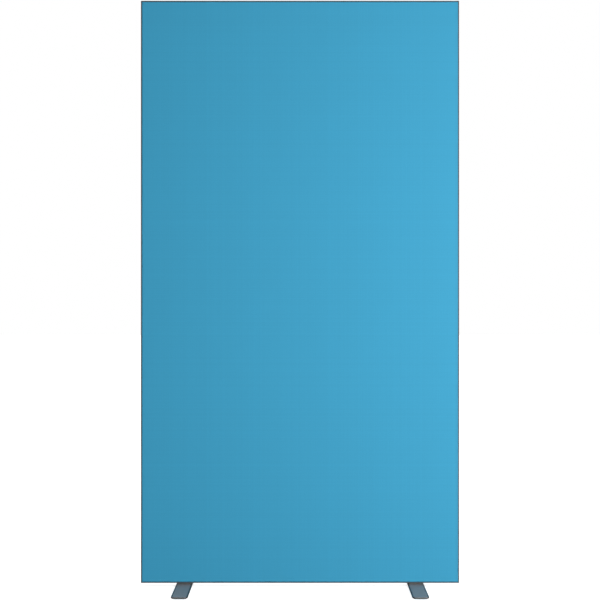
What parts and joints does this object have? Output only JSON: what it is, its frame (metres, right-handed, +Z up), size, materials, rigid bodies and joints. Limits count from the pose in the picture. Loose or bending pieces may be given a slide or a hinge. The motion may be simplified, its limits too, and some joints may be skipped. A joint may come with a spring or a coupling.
{
  "type": "partition screen",
  "caption": "Tall free-standing office partition screen: blue fabric stretched over both faces of a slim mitred aluminium frame, on flat steel plate feet.",
  "frame": {"origin": "on the floor, under the middle of the screen", "axes": "+X to the right seen from the front, +Y towards the back, +Z up; the front fabric faces -Y"},
  "size_m": [0.94, 0.4, 1.73],
  "materials": {
    "screen_fabric": "plain-woven mid-blue polyester with a little stretch, pulled taut, matt",
    "frame_coat": "extruded aluminium with a dark slate powder coat, satin",
    "foot_coat": "steel plate with a cool grey powder coat, satin",
    "spacer_nylon": "moulded mid-grey nylon",
    "silicone": "extruded translucent silicone strip",
    "key_metal": "plain die-cast aluminium",
    "brace_metal": "mill-finish aluminium tube",
    "fastener_steel": "zinc-plated steel",
    "pad_rubber": "black anti-slip rubber"
  },
  "bodies": {
    "root": {"bottom_rail": "frame_coat", "left_stile": "frame_coat", "top_rail": "frame_coat", "right_stile": "frame_coat", "corner_key_bottom_left": "key_metal", "corner_key_top_left": "key_metal", "corner_key_top_right": "key_metal", "corner_key_bottom_right": "key_metal", "corner_key_screws": "fastener_steel", "cross_brace": "brace_metal", "brace_bracket_left": "fastener_steel", "brace_bracket_right": "fastener_steel", "brace_screws": "fastener_steel", "front_fabric": "screen_fabric", "front_edge_strip_bottom": "silicone", "front_edge_strip_left": "silicone", "front_edge_strip_top": "silicone", "front_edge_strip_right": "silicone", "rear_fabric": "screen_fabric", "rear_edge_strip_bottom": "silicone", "rear_edge_strip_left": "silicone", "rear_edge_strip_top": "silicone", "rear_edge_strip_right": "silicone", "left_foot": "foot_coat", "right_foot": "foot_coat", "left_foot_spacer": "spacer_nylon", "right_foot_spacer": "spacer_nylon", "left_nut_plate": "fastener_steel", "right_nut_plate": "fastener_steel", "foot_screws": "fastener_steel", "left_front_pad": "pad_rubber", "left_rear_pad": "pad_rubber", "right_front_pad": "pad_rubber", "right_rear_pad": "pad_rubber"}
  },
  "joints": []
}
